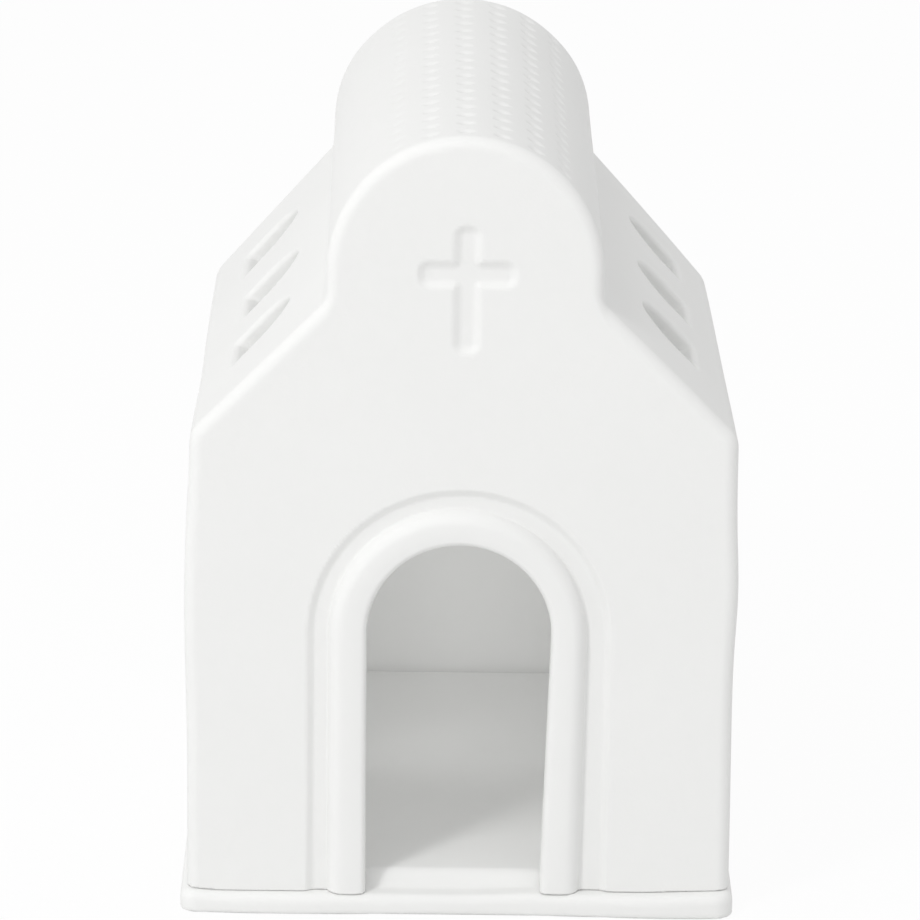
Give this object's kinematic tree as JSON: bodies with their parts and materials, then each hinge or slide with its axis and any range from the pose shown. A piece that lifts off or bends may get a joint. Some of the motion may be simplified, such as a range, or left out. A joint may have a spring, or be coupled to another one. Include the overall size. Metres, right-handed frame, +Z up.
{
  "type": "ceramic christmas village house",
  "caption": "White ceramic chapel for a Christmas village: an open-bottomed house with an arched doorway, barrel vault and roof windows that stands over a base plate with a raised floor.",
  "frame": {"origin": "on the surface that the object stands on, under the middle of the base plate", "axes": "+Z up, +X to the right as seen from the front, and the front face with the doorway faces -Y"},
  "size_m": [0.1224, 0.1668, 0.1753],
  "materials": {
    "white_ceramic": "matte white, unglazed outside, very slightly warm"
  },
  "bodies": {
    "base": {"base_plate": "white_ceramic"},
    "house": {"house_shell": "white_ceramic"}
  },
  "joints": [
    {"name": "house_lift", "type": "slide", "parent": "base", "child": "house", "axis": [0, 0, 1], "range_m": [0, 0.04]}
  ]
}
